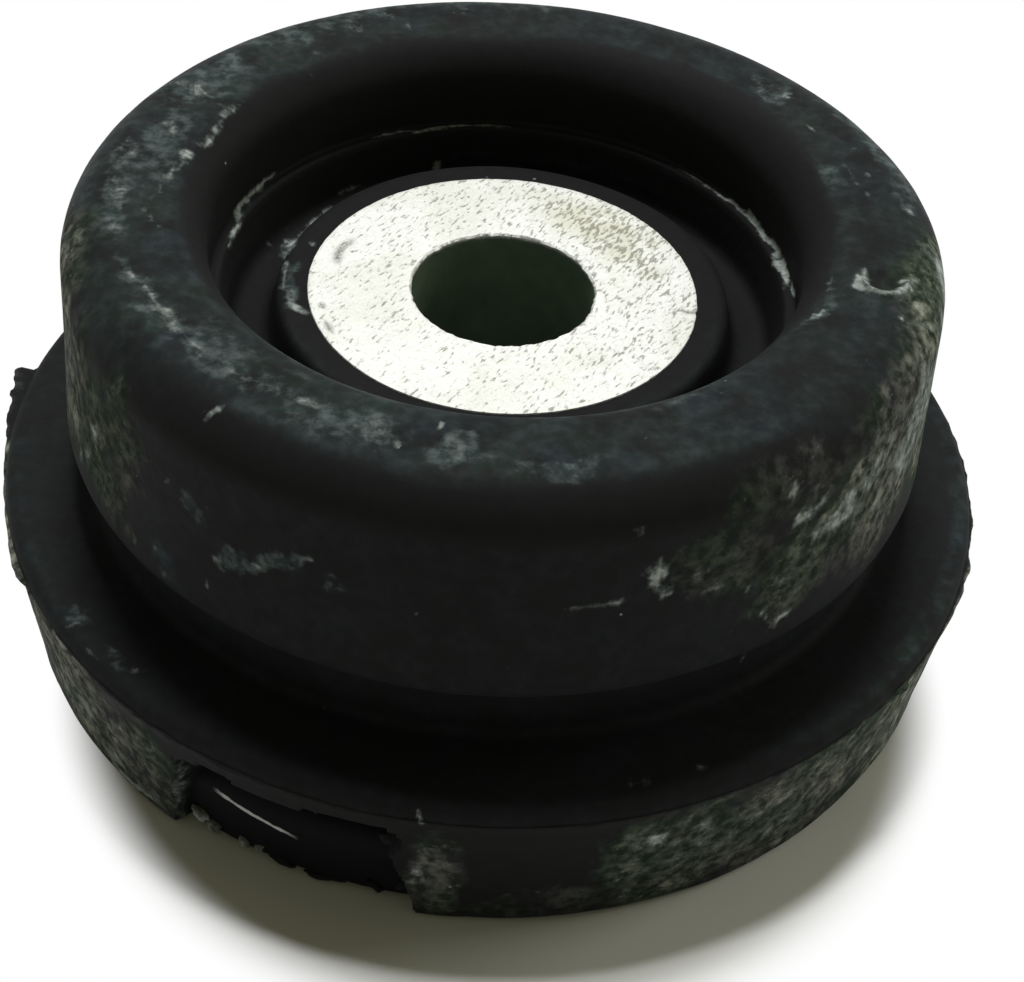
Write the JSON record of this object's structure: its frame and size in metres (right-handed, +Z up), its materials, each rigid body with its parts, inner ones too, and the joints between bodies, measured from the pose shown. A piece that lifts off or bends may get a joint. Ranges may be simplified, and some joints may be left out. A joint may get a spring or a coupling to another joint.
{
  "type": "shock absorber mount",
  "caption": "Round rubber shock absorber mount: a bonded metal hub bored for the piston rod, set in a bowl with a rounded rim, above a seat groove and a flanged base with a torn side.",
  "frame": {"origin": "centre of the foot, on the surface that the mount stands on", "axes": "+Z up along the mount's axis, towards the hub's bare face; -Y towards the torn side of the base"},
  "size_m": [0.0786, 0.0786, 0.0372],
  "materials": {
    "rubber": "old black moulded rubber, smooth on the rim, dusty grey on the base",
    "hub_metal": "blasted, bare, finely granular",
    "ring_steel": "black bonding coat, rubbed bright along its bend"
  },
  "bodies": {
    "root": {"rubber_body": "rubber", "hub": "hub_metal", "carrier_ring": "ring_steel"}
  },
  "joints": []
}
